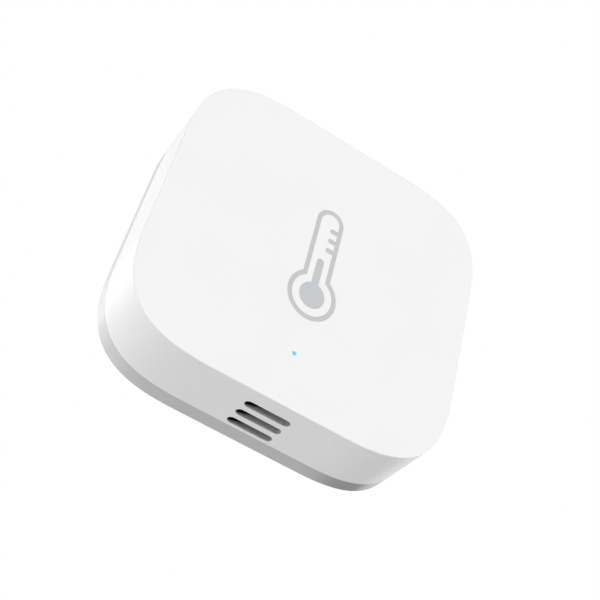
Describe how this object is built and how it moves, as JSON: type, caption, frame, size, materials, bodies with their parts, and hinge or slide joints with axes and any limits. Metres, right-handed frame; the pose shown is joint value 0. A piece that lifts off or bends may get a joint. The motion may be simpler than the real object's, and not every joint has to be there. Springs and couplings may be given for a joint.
{
  "type": "temperature and humidity sensor",
  "caption": "Small square wireless temperature and humidity sensor with a white clip-on housing, grey base, vent slots, reset button and a coin cell on its circuit board.",
  "frame": {"origin": "centre of the adhesive pad's mounting face", "axes": "+Z out of the front face, away from the surface it is stuck to; -Y towards the vented side; +Y towards the reset button and the top of the printed mark"},
  "size_m": [0.036, 0.036, 0.0093],
  "materials": {
    "white_plastic": "satin",
    "grey_ink": "matte",
    "clear_plastic": "gloss",
    "grey_plastic": "satin",
    "foam_tape": "matte",
    "button_plastic": "satin",
    "board_laminate": "satin",
    "screw_steel": "satin",
    "black_plastic": "matte",
    "sheet_steel": "satin",
    "ivory_plastic": "satin",
    "solder_tin": "satin",
    "led_resin": "gloss",
    "chip_resin": "matte",
    "copper": "satin",
    "capacitor_ceramic": "matte",
    "resistor_ceramic": "satin",
    "spring_bronze": "satin",
    "cell_steel": "polished",
    "seal_plastic": "matte",
    "cell_powder": "matte"
  },
  "bodies": {
    "base": {"rear_cover": "grey_plastic", "adhesive_pad": "foam_tape"},
    "housing": {"front_housing": "white_plastic", "thermometer_print": "grey_ink", "light_pipe": "clear_plastic", "circuit_board": "board_laminate", "board_screws": "screw_steel", "switch_body": "black_plastic", "switch_cover": "sheet_steel", "switch_terminals": "solder_tin", "status_led": "led_resin", "humidity_sensor": "chip_resin", "radio_chip": "chip_resin", "clock_crystal": "sheet_steel", "antenna_trace": "copper", "chip_capacitors": "capacitor_ceramic", "chip_resistors": "resistor_ceramic", "chip_terminals": "solder_tin", "battery_holder": "black_plastic", "positive_contact": "spring_bronze", "negative_contact": "spring_bronze", "cell_can": "cell_steel", "cell_seal": "seal_plastic", "cell_cap": "cell_steel", "cell_core": "cell_powder"},
    "button": {"reset_button": "button_plastic"},
    "plunger": {"switch_plunger": "ivory_plastic"}
  },
  "joints": [
    {"name": "housing_lift", "type": "slide", "parent": "base", "child": "housing", "axis": [0, 0, 1], "range_m": [0, 0.015]},
    {"name": "button_press", "type": "slide", "parent": "housing", "child": "button", "axis": [0, -1, 0], "range_m": [0, 0.00025], "stiffness_N_per_m": 2000, "springref_m": -0.0002},
    {"name": "plunger_press", "type": "slide", "parent": "housing", "child": "plunger", "axis": [0, -1, 0], "range_m": [0, 0.00025]}
  ],
  "couplings": [
    {"joint": "plunger_press", "follows": "button_press", "ratio": 1}
  ]
}
